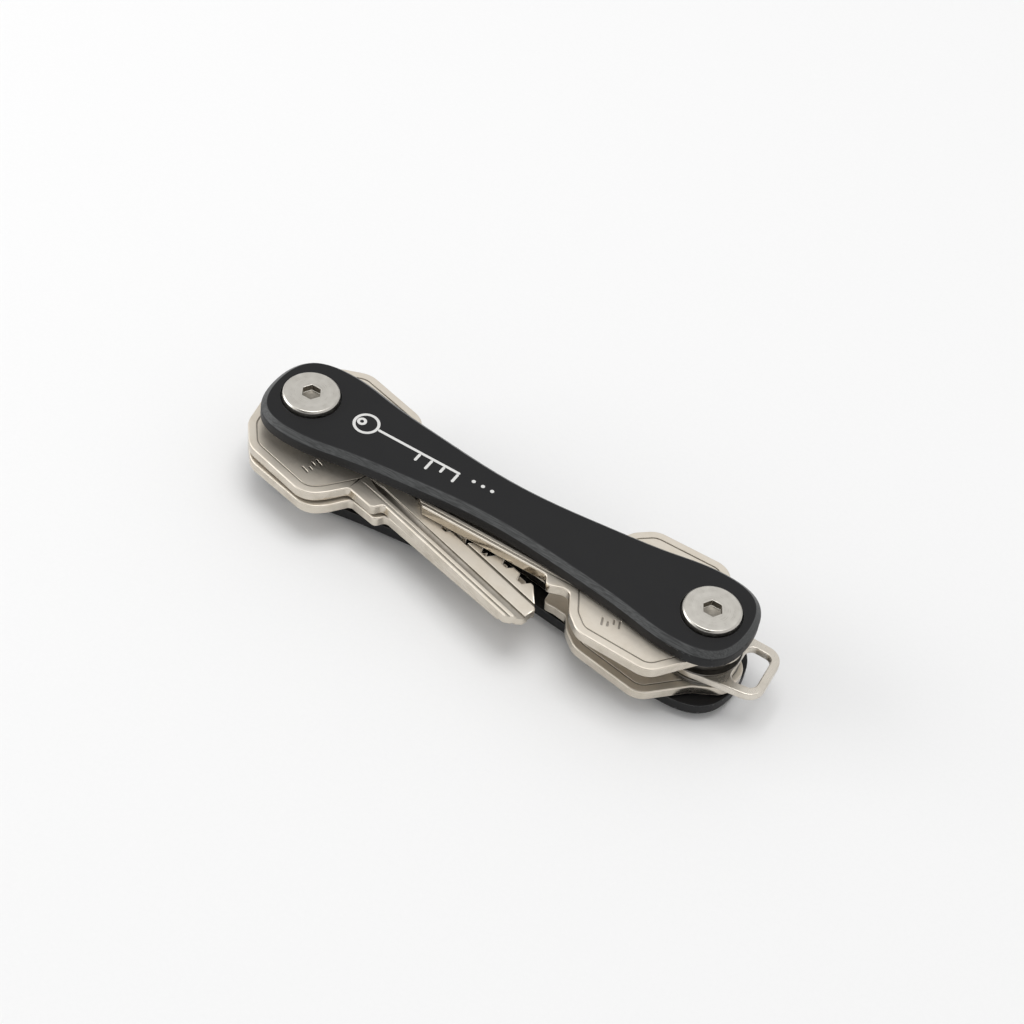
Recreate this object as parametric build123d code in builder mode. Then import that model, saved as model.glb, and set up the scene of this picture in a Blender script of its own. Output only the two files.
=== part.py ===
from build123d import *
import math
import os

os.makedirs("parts", exist_ok=True)

# A four-key organiser: two waisted plates on two screw posts, with the keys folded between them.
# X runs along the plates, +Y is the side the keys do not open to, and Z is up through the stack.
# Z = 0 is the outer face of the lower plate. All lengths are in millimetres.

# Plates
post_spacing = 78.0
plate_thickness = 3.0
plate_gap = 10.2
plate_chamfer = 1.0
waist_half_width = 5.1
head_half_width = 9.25
head_shoulder_inset = 2.3
end_overhang = 7.5
superellipse_power = 2.6

# Posts and screws
post_radius = 2.5
post_bore_radius = 1.5
post_bore_depth = 8.0
plate_hole_radius = 2.6
head_radius = 4.9
head_proud = 1.0
head_rim_chamfer = 0.3
recess_radius = 5.2
recess_depth = 0.9
post_stop_below_recess = 0.3
hex_across_flats = 3.0
hex_depth = 1.2
slot_width = 1.1
slot_depth = 0.7

# Stack between the plates
washer_thickness = 0.4
washer_radius = 6.6
key_thickness = 2.0
axial_play = 0.025
spacer_radius = 5.8
loop_thickness = 1.5

# Running fit on the posts
running_clearance = 0.07
key_bore_radius = post_radius + running_clearance

# Key ring loop
loop_half_width = 6.4
loop_end_half_width = 5.4
loop_reach = 12.4
loop_corner_radius = 3.0
loop_hole_start = 6.5
loop_hole_end = 10.95
loop_hole_half_width = 4.2
loop_hole_end_half_width = 3.8
loop_hole_corner = 1.4

# Rest angles in degrees about +Z: the keys from folded, the loop from straight out
left_upper_angle = -15.5
left_lower_angle = -13.5
right_upper_angle = 0.0
right_lower_angle = -8.0
loop_angle = 4.0

# Derived heights
plate_top = plate_thickness + plate_gap + plate_thickness
upper_inner_face = plate_thickness + plate_gap
slot_height = key_thickness + 2 * axial_play
level_pitch = slot_height + washer_thickness
left_x = -post_spacing / 2
right_x = post_spacing / 2


def washer_z(index):
    """Underside of washer 0 (lowest) to 4 (highest)."""
    return plate_thickness + index * level_pitch


def level_z(index):
    """Bottom of the space of level 0 (lowest) to 3 (highest)."""
    return washer_z(index) + washer_thickness


def key_z(index):
    return level_z(index) + axial_play


# ---------------------------------------------------------------- plates


def plate_profile():
    """Waisted outline with rounded heads, drawn as one quarter and mirrored."""
    shoulder_x = right_x - head_shoulder_inset
    end_x = right_x + end_overhang
    end_length = end_x - shoulder_x
    corner = 0.5 ** (1 / superellipse_power)
    corner_point = (shoulder_x + end_length * corner, head_half_width * corner)
    taper = head_half_width - waist_half_width
    flank_low = (0.45 * shoulder_x, waist_half_width + 0.31 * taper)
    flank_high = (0.75 * shoulder_x, waist_half_width + 0.68 * taper)
    with BuildSketch() as profile:
        with BuildLine():
            Spline(
                (0, waist_half_width),
                flank_low,
                flank_high,
                (shoulder_x, head_half_width),
                tangents=[(1, 0), (1, 0)],
            )
            Spline(
                (shoulder_x, head_half_width),
                corner_point,
                (end_x, 0),
                tangents=[(1, 0), (0, -1)],
            )
            mirror(about=Plane.XZ)
            mirror(about=Plane.YZ)
        make_face()
    return profile.sketch


def plate(bottom, outward):
    """A plate whose chamfered, recessed side faces up (outward = 1) or down (outward = -1)."""
    outer_z = bottom + plate_thickness if outward > 0 else bottom
    with BuildPart() as made:
        with BuildSketch(Plane.XY.offset(bottom)):
            add(plate_profile())
        extrude(amount=plate_thickness)
        lowest_first = faces().sort_by(Axis.Z)
        outer_face = lowest_first[-1] if outward > 0 else lowest_first[0]
        chamfer(outer_face.edges(), plate_chamfer)
        with BuildSketch(Plane.XY.offset(outer_z)):
            with Locations((left_x, 0), (right_x, 0)):
                Circle(plate_hole_radius)
        extrude(amount=-outward * plate_thickness, mode=Mode.SUBTRACT)
        with BuildSketch(Plane.XY.offset(outer_z)):
            with Locations((left_x, 0), (right_x, 0)):
                Circle(recess_radius)
        extrude(amount=-outward * recess_depth, mode=Mode.SUBTRACT)
    return made.part


# ---------------------------------------------------------------- posts and screws

post_top = upper_inner_face + plate_thickness - recess_depth - post_stop_below_recess


def post(x):
    """Threaded barrel with a slotted head that sits in the lower plate."""
    with BuildPart() as made:
        with BuildSketch(Plane.XY.offset(-head_proud)):
            with Locations((x, 0)):
                Circle(head_radius)
        extrude(amount=head_proud + recess_depth)
        chamfer(edges().group_by(Axis.Z)[0], head_rim_chamfer)
        with BuildSketch(Plane.XY.offset(recess_depth)):
            with Locations((x, 0)):
                Circle(post_radius)
        extrude(amount=post_top - recess_depth)
        with BuildSketch(Plane.XY.offset(post_top)):
            with Locations((x, 0)):
                Circle(post_bore_radius)
        extrude(amount=-post_bore_depth, mode=Mode.SUBTRACT)
        with BuildSketch(Plane.XY.offset(-head_proud)):
            with Locations((x, 0)):
                Rectangle(slot_width, 2 * head_radius + 1)
        extrude(amount=slot_depth, mode=Mode.SUBTRACT)
    return made.part


def screw(x):
    """Flat chamfered head with a hexagon socket and a shank in the post's bore."""
    seat = plate_top - recess_depth
    with BuildPart() as made:
        with BuildSketch(Plane.XY.offset(seat)):
            with Locations((x, 0)):
                Circle(head_radius)
        extrude(amount=recess_depth + head_proud)
        chamfer(edges().group_by(Axis.Z)[-1], head_rim_chamfer)
        with BuildSketch(Plane.XY.offset(seat)):
            with Locations((x, 0)):
                Circle(post_bore_radius)
        extrude(amount=-(post_bore_depth - 1.0))
        with BuildSketch(Plane.XY.offset(plate_top + head_proud)):
            with Locations((x, 0)):
                RegularPolygon(hex_across_flats / 2, 6, major_radius=False)
        extrude(amount=-hex_depth, mode=Mode.SUBTRACT)
    return made.part


def ring(x, z, height, radius):
    """Washer or spacer, a snug fit on its post."""
    with BuildPart() as made:
        with BuildSketch(Plane.XY.offset(z)):
            with Locations((x, 0)):
                Circle(radius)
                Circle(post_radius, mode=Mode.SUBTRACT)
        extrude(amount=height)
    return made.part


# ---------------------------------------------------------------- keys

# Each blank is drawn in its own frame: the blade runs along +X, its back faces -Y, and y = 0 is
# the middle of the bow. pivot_y is where the bow's middle lies from the pivot hole.
# neck lists (x, half width) from the bow to the root of the blade, and the corners of the outline
# inside neck_span are rounded.
left_blank = {
    "pivot_y": 1.9,
    "bow": ((17.0, 4.1), (14.2, 10.6), (12.2, 13.75), (-1.8, 13.75), (-6.3, 10.3), (-9.2, 4.0)),
    "bow_turn": 1.0,
    "bow_corner": 4.5,
    "neck": ((13.0, 6.7), (21.6, 6.4)),
    "neck_span": (15.0, 23.0),
    "blade_root": 22.3,
    "blade_back": -4.4,
    "blade_front": 3.8,
    "tip": 54.3,
    "bit_start": 28.4,
    "bit_pitch": 4.0,
    "bit_depths": (2.9, 3.8, 2.9, 2.1, 1.0, 1.3),
}
left_lower_blank = dict(left_blank, tip=51.2, bit_depths=(2.2, 3.1, 3.7, 2.4, 1.5))
right_bow_rear = ((3.2, 13.65), (-2.3, 6.0), (-6.8, 2.5))
right_blank = {
    "pivot_y": -0.55,
    "bow": ((22.6, 5.3), (19.6, 10.7), (16.6, 13.3)) + right_bow_rear,
    "bow_turn": 0.0,
    "bow_corner": 4.0,
    "neck": ((19.0, 7.0), (23.0, 7.0), (25.6, 8.1)),
    "neck_span": (20.9, 27.0),
    "blade_root": 26.6,
    "blade_back": -6.15,
    "blade_front": 2.65,
    "tip": 53.0,
    "bit_start": 31.0,
    "bit_pitch": 3.9,
    "bit_depths": (1.3, 2.3, 1.8, 2.6),
}
right_lower_blank = dict(
    right_blank,
    bow=((24.6, 5.4), (19.9, 11.4), (16.6, 13.4)) + right_bow_rear,
    neck=((19.0, 9.2), (24.0, 9.2), (26.2, 9.6)),
    neck_span=(21.0, 28.0),
    blade_root=27.0,
)
tip_back_corner = (2.3, 2.1)
tip_flat = 2.7
tip_front_slope = 4.0
neck_corner_radius = 1.0

border_inset = 1.4
border_width = 0.2
border_depth = 0.15
bit_flat = 1.0
bit_slope = 0.6

# Milled grooves: height of each edge above the blade's back, and depth.
upper_grooves = ((0.4, 0.75, 0.2), (1.4, 2.6, 0.45), (5.1, 5.6, 0.5))
lower_grooves = ((0.9, 1.3, 0.3), (3.2, 4.4, 0.6))
groove_lead = 5.2
groove_point = 3.0


def bit_points(blank):
    """Generic notches in the blade's front edge. Neighbours that overlap meet in a peak."""
    edge = blank["blade_front"]
    depths = blank["bit_depths"]
    pitch = blank["bit_pitch"]
    flat = bit_flat / 2
    first = blank["bit_start"]
    points = [(first - flat - bit_slope * depths[0], edge)]
    for index, depth in enumerate(depths):
        centre = first + index * pitch
        points.append((centre - flat, edge - depth))
        points.append((centre + flat, edge - depth))
        if index + 1 == len(depths):
            points.append((centre + flat + bit_slope * depth, edge))
            continue
        following = depths[index + 1]
        peak = ((pitch - bit_flat) / bit_slope - depth - following) / 2
        if peak < 0:
            points.append((centre + flat + bit_slope * (depth + peak), edge + peak))
        else:
            points.append((centre + flat + bit_slope * depth, edge))
            points.append((centre + pitch - flat - bit_slope * following, edge))
    return points


def bow_points(blank):
    side = blank["bow"]
    loop_round = side + tuple((x, -y) for x, y in reversed(side))
    turn = math.radians(blank["bow_turn"])
    cos_turn = math.cos(turn)
    sin_turn = math.sin(turn)
    return [(x * cos_turn - y * sin_turn, x * sin_turn + y * cos_turn) for x, y in loop_round]


def blade_points(blank):
    """Closed outline of the neck and blade, going out along the back and home along the front."""
    back = blank["blade_back"]
    tip = blank["tip"]
    root = blank["blade_root"]
    out = [(x, -y) for x, y in blank["neck"]]
    out.append((root, back))
    out.append((tip - tip_back_corner[0], back))
    out.append((tip, back + tip_back_corner[1]))
    out.append((tip, back + tip_back_corner[1] + tip_flat))
    out.append((tip - tip_front_slope, blank["blade_front"]))
    home = list(reversed(bit_points(blank)))
    home.append((root, blank["blade_front"]))
    home += [(x, y) for x, y in reversed(blank["neck"])]
    return out + home


def groove_points(blank, low, high):
    """A groove that starts in a point on the neck and runs out through the tip."""
    start = blank["neck"][-1][0] - groove_lead
    back = blank["blade_back"]
    far = blank["tip"] + 1.0
    return [
        (start, back + (low + high) / 2),
        (start + groove_point, back + low),
        (far, back + low),
        (far, back + high),
        (start + groove_point, back + high),
    ]


def key(x, level, angle, blank, hand=1, shift=(0, 0)):
    """A flat key at its rest angle with its hole on the post at x. hand = -1 points it to -X."""
    turn = math.radians(angle)
    direction = (math.cos(turn), math.sin(turn), 0)
    base = Plane(origin=(x, 0, key_z(level)), x_dir=direction, z_dir=(0, 0, 1))
    top = base.offset(key_thickness)

    def place(points):
        dx, dy = shift
        return [(hand * (px + dx), py + blank["pivot_y"] + dy) for px, py in points]

    def polygon(points):
        Polygon(*place(points), align=None)

    def bow():
        polygon(bow_points(blank))
        fillet(vertices(), blank["bow_corner"])

    def neck_corners():
        near, far = blank["neck_span"]
        dx = shift[0]
        return vertices().filter_by(lambda corner: near < hand * corner.X - dx < far)

    def border(inset):
        with BuildSketch() as outline:
            polygon(bow_points(blank))
            offset(amount=-inset, kind=Kind.INTERSECTION, mode=Mode.REPLACE)
            fillet(vertices(), blank["bow_corner"] - inset)
        return outline.sketch

    border_outside = border(border_inset)
    border_inside = border(border_inset + border_width)

    with BuildPart() as made:
        with BuildSketch(base):
            bow()
            polygon(blade_points(blank))
            fillet(neck_corners(), neck_corner_radius)
            Circle(key_bore_radius, mode=Mode.SUBTRACT)
        extrude(amount=key_thickness)
        for plane, grooves, inward in ((top, upper_grooves, -1), (base, lower_grooves, 1)):
            for low, high, depth in grooves:
                with BuildSketch(plane):
                    polygon(groove_points(blank, low, high))
                extrude(amount=inward * depth, mode=Mode.SUBTRACT)
            with BuildSketch(plane):
                add(border_outside)
                add(border_inside, mode=Mode.SUBTRACT)
            extrude(amount=inward * border_depth, mode=Mode.SUBTRACT)
    return made.part


keys = {
    "key_left_upper": key(left_x, 2, left_upper_angle, left_blank),
    "key_left_lower": key(left_x, 1, left_lower_angle, left_lower_blank, shift=(0.6, -0.5)),
    "key_right_upper": key(right_x, 3, right_upper_angle, right_blank, hand=-1),
    "key_right_lower": key(
        right_x, 0, right_lower_angle, right_lower_blank, hand=-1, shift=(-0.75, 0.3)
    ),
}


# ---------------------------------------------------------------- loop

shim_height = slot_height - loop_thickness - 2 * axial_play
loop_z = level_z(1) + shim_height + axial_play
loop_turn = math.radians(loop_angle)
loop_plane = Plane(
    origin=(right_x, 0, loop_z),
    x_dir=(math.cos(loop_turn), math.sin(loop_turn), 0),
    z_dir=(0, 0, 1),
)

with BuildPart() as loop:
    with BuildSketch(loop_plane):
        Circle(loop_half_width)
        Polygon(
            (0, -loop_half_width),
            (loop_reach, -loop_end_half_width),
            (loop_reach, loop_end_half_width),
            (0, loop_half_width),
            align=None,
        )
        fillet(vertices().group_by(Axis.X)[-1], loop_corner_radius)
        Circle(key_bore_radius, mode=Mode.SUBTRACT)
    extrude(amount=loop_thickness)
    with BuildSketch(loop_plane):
        Polygon(
            (loop_hole_start, -loop_hole_half_width),
            (loop_hole_end, -loop_hole_end_half_width),
            (loop_hole_end, loop_hole_end_half_width),
            (loop_hole_start, loop_hole_half_width),
            align=None,
        )
        fillet(vertices(), loop_hole_corner)
    extrude(amount=loop_thickness, mode=Mode.SUBTRACT)


# ---------------------------------------------------------------- files

made_parts = {
    "upper_plate": plate(upper_inner_face, 1),
    "lower_plate": plate(0, -1),
    "screw_left": screw(left_x),
    "screw_right": screw(right_x),
    "post_left": post(left_x),
    "post_right": post(right_x),
    "spacer_left_lower": ring(left_x, level_z(0), slot_height, spacer_radius),
    "spacer_left_upper": ring(left_x, level_z(3), slot_height, spacer_radius),
    "spacer_right": ring(right_x, level_z(2), slot_height, spacer_radius),
    "loop_shim": ring(right_x, level_z(1), shim_height, washer_radius),
    "loop": loop.part,
}
made_parts.update(keys)
for index in range(5):
    made_parts[f"washer_left_{index + 1}"] = ring(left_x, washer_z(index), washer_thickness, washer_radius)
    made_parts[f"washer_right_{index + 1}"] = ring(right_x, washer_z(index), washer_thickness, washer_radius)

for name, solid in made_parts.items():
    solid.label = name
    export_step(solid, f"parts/{name}.step")
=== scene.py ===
import math

import bmesh
import bpy
from mathutils import Matrix, Vector


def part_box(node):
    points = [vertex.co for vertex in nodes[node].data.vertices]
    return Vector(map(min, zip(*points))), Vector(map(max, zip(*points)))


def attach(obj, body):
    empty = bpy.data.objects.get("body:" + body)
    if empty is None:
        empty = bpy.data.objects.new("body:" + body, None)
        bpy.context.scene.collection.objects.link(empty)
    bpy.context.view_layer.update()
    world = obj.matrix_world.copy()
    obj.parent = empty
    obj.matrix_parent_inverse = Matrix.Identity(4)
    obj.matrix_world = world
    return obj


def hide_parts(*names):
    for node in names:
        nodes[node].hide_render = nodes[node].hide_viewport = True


# Meshes are worked in millimetres and scaled to the frame's metres when a piece is finished.
# The lights, the card and the size of the floor are in metres.
MM = 0.001

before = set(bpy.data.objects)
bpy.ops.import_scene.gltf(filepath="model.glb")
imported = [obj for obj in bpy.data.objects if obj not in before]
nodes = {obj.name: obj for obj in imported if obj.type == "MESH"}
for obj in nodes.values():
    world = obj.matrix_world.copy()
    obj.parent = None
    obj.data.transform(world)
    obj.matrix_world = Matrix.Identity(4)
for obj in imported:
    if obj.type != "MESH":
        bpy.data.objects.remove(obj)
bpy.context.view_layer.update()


def height(node, top=True):
    """Top or bottom of a CAD node in millimetres."""
    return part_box(node)[1 if top else 0].z / MM


POST_X = (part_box("screw_right")[0].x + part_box("screw_right")[1].x) / 2 / MM
POST_AXIS = {"left": Vector((-POST_X, 0)), "right": Vector((POST_X, 0))}
PLATE_TOP = height("upper_plate")

# Widths of the rounded edges.
PLATE_ROUND = 0.13
HEAD_ROUND = 0.09
WASHER_ROUND = 0.08
SPACER_ROUND = 0.15
PERIMETER_ROUND = 0.26
GROOVE_ROUND = 0.06
LOOP_ROUND = 0.24


# ---------------------------------------------------------------- shader helpers


def add_node(tree, kind, inputs=None, **settings):
    """A shader node with its settings made and each input linked to a socket or given a value."""
    made = tree.nodes.new(kind)
    for name, value in settings.items():
        setattr(made, name, value)
    for key, value in (inputs or {}).items():
        if isinstance(value, bpy.types.NodeSocket):
            tree.links.new(value, made.inputs[key])
        else:
            made.inputs[key].default_value = value
    return made


def math_node(tree, operation, a, b=0.0):
    return add_node(tree, "ShaderNodeMath", {0: a, 1: b}, operation=operation).outputs[0]


def plus_share(tree, base, value, share):
    """base plus a share of value."""
    return math_node(tree, "ADD", base, math_node(tree, "MULTIPLY", value, share))


def mean(tree, a, b):
    return plus_share(tree, math_node(tree, "MULTIPLY", a, 0.5), b, 0.5)


def remap(tree, value, low, high, to_low=0.0, to_high=1.0):
    inputs = {0: value, 1: low, 2: high, 3: to_low, 4: to_high}
    return add_node(tree, "ShaderNodeMapRange", inputs).outputs[0]


def blend_colours(tree, factor, a, b):
    """Goes from a to b, each of them a socket or red, green and blue."""
    inputs = {0: factor}
    for key, colour in ((6, a), (7, b)):
        inputs[key] = colour if isinstance(colour, bpy.types.NodeSocket) else (*colour, 1)
    return add_node(tree, "ShaderNodeMix", inputs, data_type="RGBA").outputs[2]


def moved(tree, vector, offset):
    return add_node(tree, "ShaderNodeMapping", {"Vector": vector, "Location": offset}).outputs[0]


def scaled(tree, vector, scale, turn=0.0):
    """The coordinates turned about Z by some degrees, then stretched."""
    rotation = (0, 0, math.radians(turn))
    turned_by = add_node(tree, "ShaderNodeMapping", {"Vector": vector, "Rotation": rotation})
    inputs = {"Vector": turned_by.outputs[0], "Scale": scale}
    return add_node(tree, "ShaderNodeMapping", inputs).outputs[0]


def noise(tree, vector, scale, detail=2.0, roughness=0.5):
    inputs = {"Vector": vector, "Scale": scale, "Detail": detail, "Roughness": roughness}
    return add_node(tree, "ShaderNodeTexNoise", inputs).outputs[0]


def facing_up(tree):
    """0 on an upright wall and 1 on a face that looks straight up or down."""
    normal = add_node(tree, "ShaderNodeTexCoord").outputs["Normal"]
    tilt = add_node(tree, "ShaderNodeSeparateXYZ", {0: normal}).outputs[2]
    return math_node(tree, "ABSOLUTE", tilt)


def start_material(name, metallic, specular=0.5):
    """A material with its tree, its shader and the object's coordinates in millimetres."""
    made = bpy.data.materials.new(name)
    made.use_nodes = True
    tree = made.node_tree
    tree.nodes.clear()
    shader = tree.nodes.new("ShaderNodeBsdfPrincipled")
    output = tree.nodes.new("ShaderNodeOutputMaterial")
    tree.links.new(shader.outputs[0], output.inputs[0])
    shader.inputs["Metallic"].default_value = metallic
    shader.inputs["Specular IOR Level"].default_value = specular
    coordinates = tree.nodes.new("ShaderNodeTexCoord")
    in_mm = scaled(tree, coordinates.outputs["Object"], (1 / MM, 1 / MM, 1 / MM))
    return made, tree, shader, in_mm


def finish_material(tree, shader, colour, roughness, surface_height, depth):
    """depth is the height in millimetres of a bump of 1."""
    tree.links.new(colour, shader.inputs["Base Color"])
    tree.links.new(roughness, shader.inputs["Roughness"])
    bump = add_node(tree, "ShaderNodeBump", {"Distance": depth * MM, "Height": surface_height})
    tree.links.new(bump.outputs[0], shader.inputs["Normal"])


# ---------------------------------------------------------------- materials


def anodised(name):
    """Black anodised, bead-blasted aluminium with its chamfer painted lighter, partly as rubbed
    wear and partly as a painted highlight.
    """
    made, tree, shader, mm = start_material(name, metallic=0.0, specular=0.22)
    grain = noise(tree, mm, 7.0, 3.0, 0.6)
    cloud = noise(tree, mm, 0.16, 3.0)
    strokes = noise(tree, scaled(tree, mm, (0.35, 6.0, 6.0)), 1.0, 2.0)

    # The chamfer is what leans between the walls and the flats.
    tilt = facing_up(tree)
    rising = remap(tree, tilt, 0.3, 0.6)
    falling = remap(tree, tilt, 0.8, 0.97, 1.0, 0.0)
    chamfer = math_node(tree, "MULTIPLY", rising, falling)
    wear = remap(tree, strokes, 0.35, 0.7, 0.45, 1.0)
    chamfer_wear_and_highlight = math_node(tree, "MULTIPLY", chamfer, wear)

    flat = blend_colours(tree, cloud, (0.0072, 0.0072, 0.0078), (0.0102, 0.0102, 0.0108))
    speckle = remap(tree, grain, 0.55, 0.8, 0.0, 0.5)
    speckled = blend_colours(tree, speckle, flat, (0.017, 0.017, 0.0178))
    # The chamfer is painted lighter: partly rubbed wear, partly a painted highlight of the light
    # falling on it.
    colour = blend_colours(tree, chamfer_wear_and_highlight, speckled, (0.088, 0.09, 0.09))
    roughness = plus_share(tree, remap(tree, grain, 0.2, 0.8, 0.4, 0.52), chamfer, -0.07)
    surface = plus_share(tree, grain, strokes, 0.3)
    finish_material(tree, shader, colour, roughness, surface, 0.006)
    return made


def turned(name, centre_x, light, dark, rough):
    """Steel faced on a lathe, with fine rings about the vertical axis at x = centre_x."""
    made, tree, shader, mm = start_material(name, metallic=1.0)
    from_axis = moved(tree, mm, (-centre_x, 0, 0))
    x, y, z = add_node(tree, "ShaderNodeSeparateXYZ", {0: from_axis}).outputs
    level = add_node(tree, "ShaderNodeCombineXYZ", {0: x, 1: y}).outputs[0]
    radius = add_node(tree, "ShaderNodeVectorMath", {0: level}, operation="LENGTH").outputs["Value"]
    rings_at = add_node(tree, "ShaderNodeCombineXYZ", {0: radius, 2: z}).outputs[0]
    rings = noise(tree, rings_at, 11.0, 3.0, 0.7)
    blotch = noise(tree, mm, 0.7, 3.0)
    pits = noise(tree, mm, 9.0, 2.0)
    marks = noise(tree, scaled(tree, mm, (0.5, 9.0, 9.0), 35), 1.0, 1.0)
    scratch = remap(tree, marks, 0.66, 0.72)

    tone = remap(tree, mean(tree, rings, blotch), 0.35, 0.65)
    colour = blend_colours(tree, tone, dark, light)
    ring_roughness = remap(tree, rings, 0.3, 0.7, rough - 0.05, rough + 0.06)
    roughness = plus_share(tree, ring_roughness, remap(tree, blotch, 0.4, 0.8), 0.06)
    surface = plus_share(tree, plus_share(tree, rings, pits, 0.3), scratch, -0.5)
    finish_material(tree, shader, colour, roughness, surface, 0.004)
    return made


def turned_pair(name, light, dark, rough):
    """The same turned steel for the left and the right post, each about its own axis."""
    return {
        side: turned(f"{name}_{side}", axis.x, light, dark, rough)
        for side, axis in POST_AXIS.items()
    }


def plated(name, light, dark, rough, depth, metallic=1.0, grain_turn=0.0, darkening=0.0):
    """Rolled or plated sheet with fine grain, handling scratches, dull patches and, where asked, a
    darker brown tone.
    """
    made, tree, shader, mm = start_material(name, metallic)
    grain = noise(tree, scaled(tree, mm, (0.5, 12.0, 12.0), grain_turn), 1.0, 3.0, 0.6)
    patches = noise(tree, mm, 0.32, 4.0, 0.6)
    fine = noise(tree, mm, 5.0, 2.0)
    scratch = 0.0
    for turn, offset in ((28, 0.0), (-52, 7.0), (81, 19.0)):
        stretched = scaled(tree, moved(tree, mm, (offset, offset, 0)), (0.22, 8.0, 1.0), turn)
        lines = noise(tree, stretched, 1.0, 1.0)
        scratch = math_node(tree, "ADD", remap(tree, lines, 0.69, 0.74), scratch)

    dull = remap(tree, patches, 0.42, 0.68)
    colour = blend_colours(tree, dull, light, dark)
    colour = blend_colours(tree, remap(tree, grain, 0.35, 0.75, 0.0, 0.35), colour, dark)
    # Where asked, the colour goes partly towards a dark brown.
    if darkening:
        darker_share = remap(tree, fine, 0.3, 0.75, darkening * 0.55, darkening)
        colour = blend_colours(tree, darker_share, colour, (0.085, 0.07, 0.052))
    grain_roughness = remap(tree, grain, 0.3, 0.7, rough - 0.04, rough + 0.05)
    roughness = plus_share(tree, grain_roughness, dull, 0.09)
    surface = plus_share(tree, plus_share(tree, grain, fine, 0.5), scratch, -0.35)
    finish_material(tree, shader, colour, roughness, surface, depth)
    return made


def etched(name):
    """The pale frosted tone a laser leaves on anodising."""
    made, tree, shader, mm = start_material(name, metallic=0.0, specular=0.3)
    dots = noise(tree, mm, 14.0, 2.0)
    passes = noise(tree, scaled(tree, mm, (0.2, 14.0, 1.0)), 1.0, 1.0)
    mixed = mean(tree, dots, passes)
    tone = remap(tree, mixed, 0.35, 0.65)
    colour = blend_colours(tree, tone, (0.58, 0.575, 0.56), (0.74, 0.735, 0.72))
    roughness = remap(tree, dots, 0.3, 0.7, 0.55, 0.7)
    finish_material(tree, shader, colour, roughness, mixed, 0.004)
    return made


def paper(name):
    """Seamless white studio paper."""
    made, tree, shader, mm = start_material(name, metallic=0.0, specular=0.1)
    fibre = noise(tree, mm, 1.4, 3.0)
    colour = blend_colours(tree, fibre, (0.84, 0.84, 0.84), (0.86, 0.86, 0.86))
    roughness = remap(tree, fibre, 0.0, 1.0, 0.85, 0.95)
    finish_material(tree, shader, colour, roughness, fibre, 0.003)
    return made


def velvet(name):
    """Black flocked card."""
    made, tree, shader, mm = start_material(name, metallic=0.0, specular=0.0)
    pile = noise(tree, mm, 0.9, 3.0)
    colour = blend_colours(tree, pile, (0.004, 0.004, 0.004), (0.009, 0.009, 0.009))
    roughness = remap(tree, pile, 0.0, 1.0, 0.9, 1.0)
    finish_material(tree, shader, colour, roughness, pile, 0.01)
    return made


black = anodised("anodised_black")
head_steel = turned_pair("turned_steel", (0.66, 0.635, 0.585), (0.57, 0.545, 0.495), 0.3)
# Painted shade: the steel in the sockets is painted darker than the heads.
shaded_socket_steel = turned_pair("shaded_socket_steel", (0.38, 0.355, 0.31), (0.22, 0.2, 0.17), 0.36)
# Painted shade: the washers and spacers are painted nearly black for the shade between the plates.
shaded_shim_steel = turned_pair("shaded_shim_steel", (0.2, 0.19, 0.174), (0.12, 0.112, 0.1), 0.34)
nickel = plated(
    "nickel_plate",
    light=(0.74, 0.68, 0.59),
    dark=(0.66, 0.6, 0.51),
    rough=0.36,
    depth=0.002,
    metallic=0.75,
)
# Painted shade: the walls are painted darker than the top faces; their lower roughness is the
# polish of the edges.
shaded_nickel_edge = plated(
    "shaded_nickel_edge",
    light=(0.68, 0.625, 0.54),
    dark=(0.54, 0.49, 0.41),
    rough=0.16,
    depth=0.0015,
    grain_turn=90.0,
)
# The grooves and stamps are painted darker and browner than the top faces.
nickel_recess = plated(
    "nickel_recess",
    light=(0.5, 0.465, 0.41),
    dark=(0.38, 0.345, 0.295),
    rough=0.42,
    depth=0.004,
    darkening=0.35,
)
sheet_steel = plated(
    "sheet_steel",
    light=(0.74, 0.69, 0.61),
    dark=(0.6, 0.555, 0.485),
    rough=0.28,
    depth=0.003,
    metallic=0.85,
    grain_turn=90.0,
)


# ---------------------------------------------------------------- mesh helpers

WELD_DISTANCE = 0.0015
FLAT_ANGLE = 0.35


def cleaned(mesh_data, scale=1 / MM):
    """A bmesh in millimetres with split vertices joined and flat faces merged."""
    bm = bmesh.new()
    bm.from_mesh(mesh_data)
    bmesh.ops.scale(bm, vec=(scale, scale, scale), verts=bm.verts)
    bmesh.ops.remove_doubles(bm, verts=bm.verts, dist=WELD_DISTANCE)
    bmesh.ops.dissolve_limit(
        bm, angle_limit=math.radians(FLAT_ANGLE), verts=bm.verts, edges=bm.edges
    )
    bmesh.ops.recalc_face_normals(bm, faces=bm.faces)
    bm.normal_update()
    return bm


def soften(bm, rule, width, segments):
    """Rounds the edges that rule accepts."""
    chosen = [edge for edge in bm.edges if len(edge.link_faces) == 2 and rule(edge)]
    bmesh.ops.bevel(
        bm,
        geom=chosen,
        offset=width,
        offset_type="OFFSET",
        segments=segments,
        profile=0.5,
        affect="EDGES",
        clamp_overlap=False,
        loop_slide=True,
    )
    bm.normal_update()


def sharper_than(degrees, where=lambda vert: True):
    """A rule for soften: sharp edges whose ends both lie where they are asked to."""
    limit = math.radians(degrees)
    return lambda edge: edge.calc_face_angle(0.0) > limit and all(where(v) for v in edge.verts)


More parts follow.
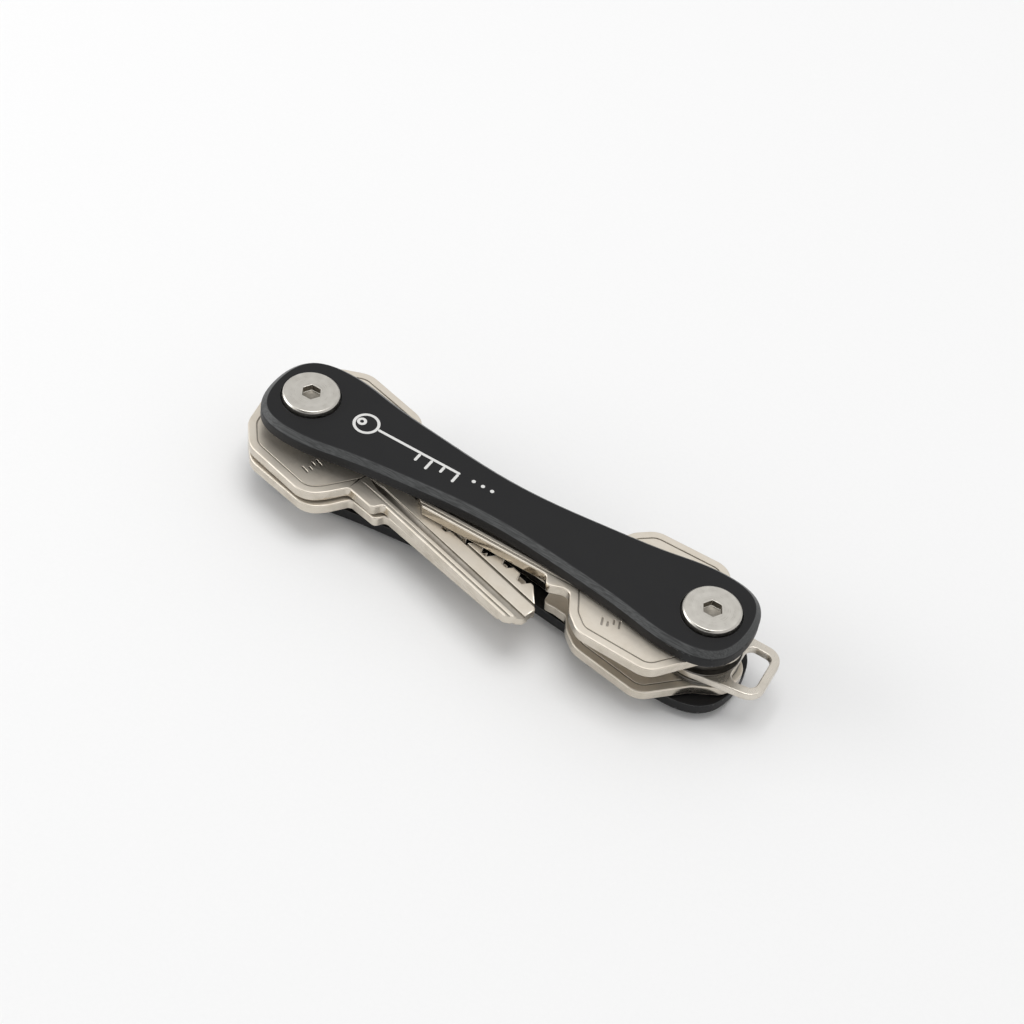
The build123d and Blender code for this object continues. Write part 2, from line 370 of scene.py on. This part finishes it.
def finish_piece(name, bm, materials, body, stands_for=None, smooth_below=32):
    """Turns a bmesh in millimetres into a piece that rides on a body."""
    bmesh.ops.scale(bm, vec=(MM, MM, MM), verts=bm.verts)
    mesh = bpy.data.meshes.new(name)
    bm.to_mesh(mesh)
    bm.free()
    for material in materials:
        mesh.materials.append(material)
    mesh.polygons.foreach_set("use_smooth", [True] * len(mesh.polygons))
    mesh.set_sharp_from_angle(angle=math.radians(smooth_below))
    made = bpy.data.objects.new(name, mesh)
    bpy.context.scene.collection.objects.link(made)
    weighted = made.modifiers.new("weighted", "WEIGHTED_NORMAL")
    weighted.keep_sharp = True
    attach(made, body)
    if stands_for:
        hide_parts(stands_for)


def carve(bm, cutter):
    """Cuts the closed solids of one bmesh out of another and returns the result."""
    holders = []
    for label, source in (("target", bm), ("cutter", cutter)):
        mesh = bpy.data.meshes.new(label)
        source.to_mesh(mesh)
        source.free()
        holder = bpy.data.objects.new(label, mesh)
        bpy.context.scene.collection.objects.link(holder)
        holders.append(holder)
    target, tool = holders
    cut = target.modifiers.new("cut", "BOOLEAN")
    cut.operation = "DIFFERENCE"
    cut.solver = "EXACT"
    cut.object = tool
    bpy.context.view_layer.update()
    evaluated = target.evaluated_get(bpy.context.evaluated_depsgraph_get())
    result = bpy.data.meshes.new_from_object(evaluated)
    carved = cleaned(result, scale=1.0)
    for holder in holders:
        mesh = holder.data
        bpy.data.objects.remove(holder)
        bpy.data.meshes.remove(mesh)
    bpy.data.meshes.remove(result)
    return carved


def prism(bm, points, bottom, top):
    """A closed prism on a convex outline given counterclockwise."""
    low = [bm.verts.new((x, y, bottom)) for x, y in points]
    high = [bm.verts.new((x, y, top)) for x, y in points]
    bm.faces.new(list(reversed(low)))
    bm.faces.new(high)
    count = len(points)
    for index in range(count):
        after = (index + 1) % count
        bm.faces.new((low[index], low[after], high[after], high[index]))


def on_circle(centre, radius, angle):
    return centre[0] + radius * math.cos(angle), centre[1] + radius * math.sin(angle)


def stroke(start, end, width, steps=5):
    """Outline of a straight stroke, counterclockwise, with round ends of so many steps."""
    start, end = Vector(start), Vector(end)
    angle = math.atan2(end.y - start.y, end.x - start.x)
    points = []
    for centre, first in ((end, -90), (start, 90)):
        for step in range(steps + 1):
            turn = angle + math.radians(first + 180 * step / steps)
            points.append(on_circle(centre, width / 2, turn))
    return points


def ring_band(bm, centre, inner, outer, bottom, top, steps=40):
    """A closed flat ring."""
    loops = []
    for radius, level in ((inner, bottom), (outer, bottom), (outer, top), (inner, top)):
        circle = [on_circle(centre, radius, 2 * math.pi * step / steps) for step in range(steps)]
        loops.append([bm.verts.new((x, y, level)) for x, y in circle])
    for index in range(4):
        a, b = loops[index], loops[(index + 1) % 4]
        for step in range(steps):
            after = (step + 1) % steps
            bm.faces.new((a[step], b[step], b[after], a[after]))


# ---------------------------------------------------------------- plates


def plate_piece(node):
    bm = cleaned(nodes[node].data)
    soften(bm, sharper_than(25), PLATE_ROUND, 3)
    finish_piece(f"{node}_anodised", bm, [black], "frame", node, 28)


plate_piece("upper_plate")
plate_piece("lower_plate")


# ---------------------------------------------------------------- screws and posts

# The floor of a screw's socket is the only upward face of the screw between these two heights.
SOCKET_FLOOR_ABOVE = PLATE_TOP - 0.5
SOCKET_FLOOR_BELOW = PLATE_TOP + 0.3
DRILL_CONE = 0.35
SOCKET_RADIUS = 1.9
SOCKET_ABOVE = PLATE_TOP - 0.8
SCREW_HEAD_ABOVE = PLATE_TOP - 0.35
POST_HEAD_BELOW = 0.5


def screw_piece(side):
    """A screw with a drill's cone in the floor of its socket, and painted shade in the socket,
    whose steel is painted darker.
    """
    node = f"screw_{side}"
    bm = cleaned(nodes[node].data)
    socket_floor = []
    for face in bm.faces:
        level = face.calc_center_median().z
        if face.normal.z > 0.99 and SOCKET_FLOOR_ABOVE < level < SOCKET_FLOOR_BELOW:
            socket_floor.append(face)
    bmesh.ops.poke(bm, faces=socket_floor, offset=-DRILL_CONE)
    bm.normal_update()
    for face in bm.faces:
        centre = face.calc_center_median()
        near_axis = (centre.to_2d() - POST_AXIS[side]).length < SOCKET_RADIUS
        if near_axis and face.normal.z < 0.999 and centre.z > SOCKET_ABOVE:
            face.material_index = 1
    rule = sharper_than(25, lambda vert: vert.co.z > SCREW_HEAD_ABOVE)
    soften(bm, rule, HEAD_ROUND, 3)
    materials = [head_steel[side], shaded_socket_steel[side]]
    finish_piece(f"{node}_turned", bm, materials, "frame", node, 35)


def post_piece(side):
    node = f"post_{side}"
    bm = cleaned(nodes[node].data)
    rule = sharper_than(25, lambda vert: vert.co.z < POST_HEAD_BELOW)
    soften(bm, rule, HEAD_ROUND, 3)
    finish_piece(f"{node}_turned", bm, [head_steel[side]], "frame", node, 35)


for side in ("left", "right"):
    screw_piece(side)
    post_piece(side)


# ---------------------------------------------------------------- washers and spacers


def washer_piece(node):
    side = "left" if "left" in node else "right"
    width = WASHER_ROUND if node.startswith("washer_") else SPACER_ROUND
    bm = cleaned(nodes[node].data)
    soften(bm, sharper_than(40), width, 2)
    # Painted shade: this steel is painted nearly black.
    finish_piece(f"{node}_finish", bm, [shaded_shim_steel[side]], "frame", node)


for node in nodes:
    if node.startswith(("washer_", "spacer_", "loop_shim")):
        washer_piece(node)


# ---------------------------------------------------------------- keys

STAMP_DEPTH = 0.12
STAMP_PITCH = 0.95
STAMP_STROKE = 0.3

# Upright faces taller than the one height are the key's own walls. Those lower than the other
# belong to its grooves and stamps.
OUTER_WALL = 1.2
GROOVE_WALL = 1.0


def span(face):
    heights = [vert.co.z for vert in face.verts]
    return max(heights) - min(heights)


def stamp_bars(centre, turn):
    """Four short generic bars in a row, as strokes (start, end)."""
    spin = Matrix.Rotation(math.radians(turn), 3, "Z")
    bars = []
    for index, (low, high) in enumerate(((-0.7, 0.7), (-0.7, 0.1), (-0.1, 0.7), (-0.7, 0.7))):
        along = (index - 1.5) * STAMP_PITCH
        ends = [Vector((along, low, 0)), Vector((along, high, 0))]
        bars.append([(spin @ end).to_2d() + Vector(centre) for end in ends])
    return bars


def key_piece(node, stamp_centre, stamp_turn):
    """A key with a stamp on its bow, darker recesses, and shinier walls painted darker as painted
    shade.
    """
    bm = cleaned(nodes[node].data)
    top, bottom = height(node), height(node, False)
    cutter = bmesh.new()
    for start, end in stamp_bars(stamp_centre, stamp_turn):
        prism(cutter, stroke(start, end, STAMP_STROKE), top - STAMP_DEPTH, top + 0.5)
    bm = carve(bm, cutter)
    for face in bm.faces:
        level = face.calc_center_median().z
        upright = abs(face.normal.z) < 0.1
        recessed = abs(face.normal.z) > 0.9 and bottom + 0.05 < level < top - 0.05
        if recessed or (upright and span(face) < GROOVE_WALL):
            face.material_index = 1
        elif upright:
            face.material_index = 2

    def wall_height(edge):
        """Height of the wall below or above an edge of the top or bottom face, or else 0."""
        walls = [face for face in edge.link_faces if abs(face.normal.z) < 0.1]
        flats = [face for face in edge.link_faces if abs(face.normal.z) > 0.9]
        levels = [vert.co.z for vert in edge.verts]
        on_face = all(min(abs(level - top), abs(level - bottom)) < 0.01 for level in levels)
        return span(walls[0]) if on_face and len(walls) == len(flats) == 1 else 0.0

    soften(bm, lambda edge: 0.0 < wall_height(edge) < GROOVE_WALL, GROOVE_ROUND, 1)
    soften(bm, lambda edge: wall_height(edge) >= OUTER_WALL, PERIMETER_ROUND, 3)
    materials = [nickel, nickel_recess, shaded_nickel_edge]
    finish_piece(f"{node}_plated", bm, materials, node, node, 40)


# Where each stamp's centre is with the key at rest, clear of the border groove, and its turn.
key_piece("key_left_upper", (-32.6, -8.5), 70)
key_piece("key_left_lower", (-31.8, -8.9), 72)
key_piece("key_right_upper", (26.0, -9.1), 20)
key_piece("key_right_lower", (25.65, -7.0), 12)


# ---------------------------------------------------------------- loop

# Edges nearer the post than this stay sharp.
LOOP_EYE = 4.0


def loop_piece():
    bm = cleaned(nodes["loop"].data)
    axis = POST_AXIS["right"]
    rule = sharper_than(40, lambda vert: (vert.co.to_2d() - axis).length > LOOP_EYE)
    soften(bm, rule, LOOP_ROUND, 3)
    finish_piece("loop_brushed", bm, [sheet_steel], "loop", "loop", 40)


loop_piece()


# ---------------------------------------------------------------- laser mark on the upper plate

MARK_STROKE = 0.5
MARK_Y = 0.4
MARK_BOTTOM = PLATE_TOP - 0.01
MARK_TOP = PLATE_TOP + 0.02
DOT_WIDTH = 0.7


def mark_piece():
    """A generic key pictogram with three dots behind it."""
    bm = bmesh.new()
    for ring_x, inner in ((-28.0, 1.85), (-28.9, 0.35)):
        outer = inner + MARK_STROKE
        ring_band(bm, (ring_x, MARK_Y), inner, outer, MARK_BOTTOM, MARK_TOP)
    strokes = [((-25.4, MARK_Y), (-9.5, MARK_Y))]
    tooth_y = MARK_Y - MARK_STROKE
    for x, reach in ((-17.0, 1.3), (-14.6, 1.9), (-12.2, 1.0), (-9.5, 1.6)):
        strokes.append(((x, tooth_y), (x, tooth_y - reach)))
    for start, end in strokes:
        prism(bm, stroke(start, end, MARK_STROKE), MARK_BOTTOM, MARK_TOP)
    for x in (-6.6, -4.8, -3.0):
        dot = stroke((x, MARK_Y), (x + 0.01, MARK_Y), DOT_WIDTH, steps=8)
        prism(bm, dot, MARK_BOTTOM, MARK_TOP)
    bmesh.ops.recalc_face_normals(bm, faces=bm.faces)
    finish_piece("plate_mark", bm, [etched("laser_mark")], "frame")


mark_piece()


# ---------------------------------------------------------------- floor, card and light

FLOOR_Z = height("post_left", False)
SKY_STRENGTH = 0.74


def flat_quad(name, size, level, material):
    """A square sheet with a side in metres, at a level in millimetres."""
    bm = bmesh.new()
    bmesh.ops.create_grid(bm, x_segments=1, y_segments=1, size=size / 2)
    mesh = bpy.data.meshes.new(name)
    bm.to_mesh(mesh)
    bm.free()
    mesh.materials.append(material)
    made = bpy.data.objects.new(name, mesh)
    made.location.z = level * MM
    bpy.context.scene.collection.objects.link(made)
    return made


def softbox(name, location, size, power):
    """A rectangular light that points at the middle of the object."""
    light = bpy.data.lights.new(name, "AREA")
    light.shape = "RECTANGLE"
    light.size, light.size_y = size
    light.energy = power
    made = bpy.data.objects.new(name, light)
    made.location = location
    aim = Vector((0, 0, 0.008)) - Vector(location)
    made.rotation_euler = aim.to_track_quat("-Z", "Y").to_euler()
    bpy.context.scene.collection.objects.link(made)


flat_quad("floor", 12.0, FLOOR_Z, paper("white_paper"))

# The card keeps the near side of the metal dark.
card = flat_quad("black_card", 1.0, 0.0, velvet("flocked_card"))
card.location = (0.12, -0.62, 0.60)
card.scale = (0.75, 0.5, 1.0)
card.rotation_euler = Vector(card.location).to_track_quat("Z", "Y").to_euler()

world = bpy.data.worlds.new("studio")
world.use_nodes = True
sky = world.node_tree.nodes["Background"]
sky.inputs["Color"].default_value = (1.0, 1.0, 1.0, 1)
sky.inputs["Strength"].default_value = SKY_STRENGTH
bpy.context.scene.world = world

softbox("top_box", (0.0, 0.06, 1.2), (0.7, 0.7), 5.4)
softbox("left_box", (-0.80, -0.40, 0.34), (0.7, 0.5), 3.2)


# ---------------------------------------------------------------- camera

# Angles in degrees and lengths in millimetres. The camera looks from the front right and above
# at a point over the frame's origin, and is then moved across its own view, right and up.
CAMERA_AZIMUTH = 24.713
CAMERA_ELEVATION = 48.031
CAMERA_ROLL = 9.521
CAMERA_DISTANCE = 411.271
CAMERA_MOVE = (1.054, -1.177)
LOOK_HEIGHT = 15.3

# The focal length is given as a multiple of the sensor's width.
FOCAL_SHARE = 2.43898
SENSOR = 36.0

azimuth = math.radians(CAMERA_AZIMUTH)
elevation = math.radians(CAMERA_ELEVATION)
level_reach = math.cos(elevation)
back = Vector(
    (math.sin(azimuth) * level_reach, -math.cos(azimuth) * level_reach, math.sin(elevation))
)
right = Vector((math.cos(azimuth), math.sin(azimuth), 0))
axes = Matrix((right, back.cross(right), back)).transposed()
axes = axes @ Matrix.Rotation(math.radians(-CAMERA_ROLL), 3, "Z").transposed()
camera_data = bpy.data.cameras.new("camera")
camera_data.sensor_width = SENSOR
camera_data.lens = SENSOR * FOCAL_SHARE
camera_data.clip_start = 0.01
camera = bpy.data.objects.new("camera", camera_data)
place = axes @ Vector((*CAMERA_MOVE, CAMERA_DISTANCE)) + Vector((0, 0, LOOK_HEIGHT))
camera.matrix_world = Matrix.Translation(place * MM) @ axes.to_4x4()
bpy.context.scene.collection.objects.link(camera)
bpy.context.scene.camera = camera
bpy.context.scene.view_settings.view_transform = "Standard"
